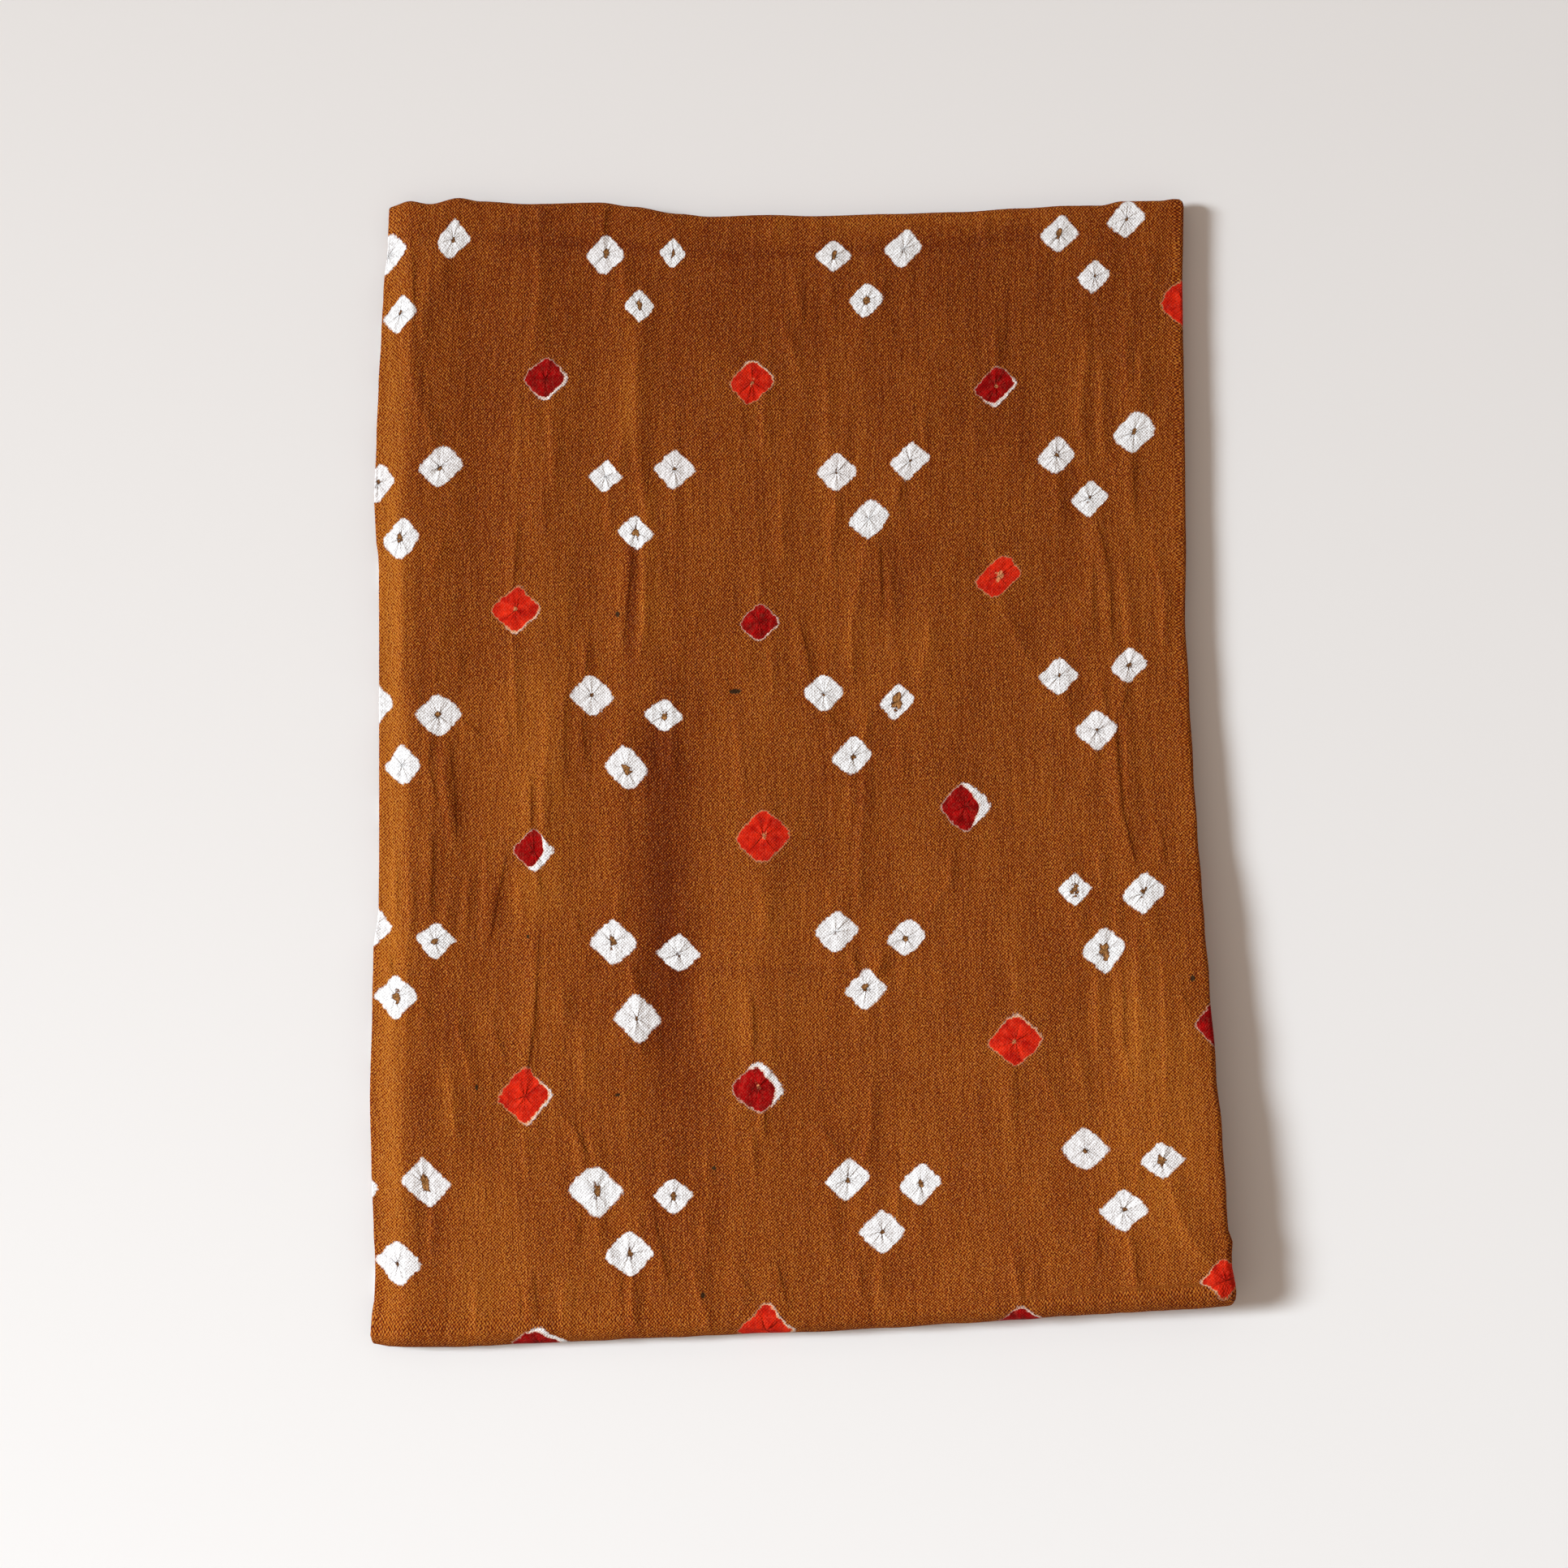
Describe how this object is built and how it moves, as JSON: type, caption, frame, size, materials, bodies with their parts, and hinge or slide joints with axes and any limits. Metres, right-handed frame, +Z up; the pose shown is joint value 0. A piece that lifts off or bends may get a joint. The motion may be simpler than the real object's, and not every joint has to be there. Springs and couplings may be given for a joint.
{
  "type": "folded bandhani cloth",
  "caption": "Tie-dyed cotton cloth folded in three across its width and in three along its length, lying flat as a soft, uneven bundle.",
  "frame": {"origin": "under the middle of the folded bundle, on the surface that it rests on", "axes": "+X to the right across the folded strip, +Y along the bundle's long side to the picture's top edge, +Z up"},
  "size_m": [0.2986, 0.398, 0.0192],
  "materials": {
    "rust_cotton": "matte, plain-woven cotton, tie-dyed rust brown with white, crimson and orange-red spots"
  },
  "bodies": {
    "root": {"folded_cloth": "rust_cotton"}
  },
  "joints": []
}
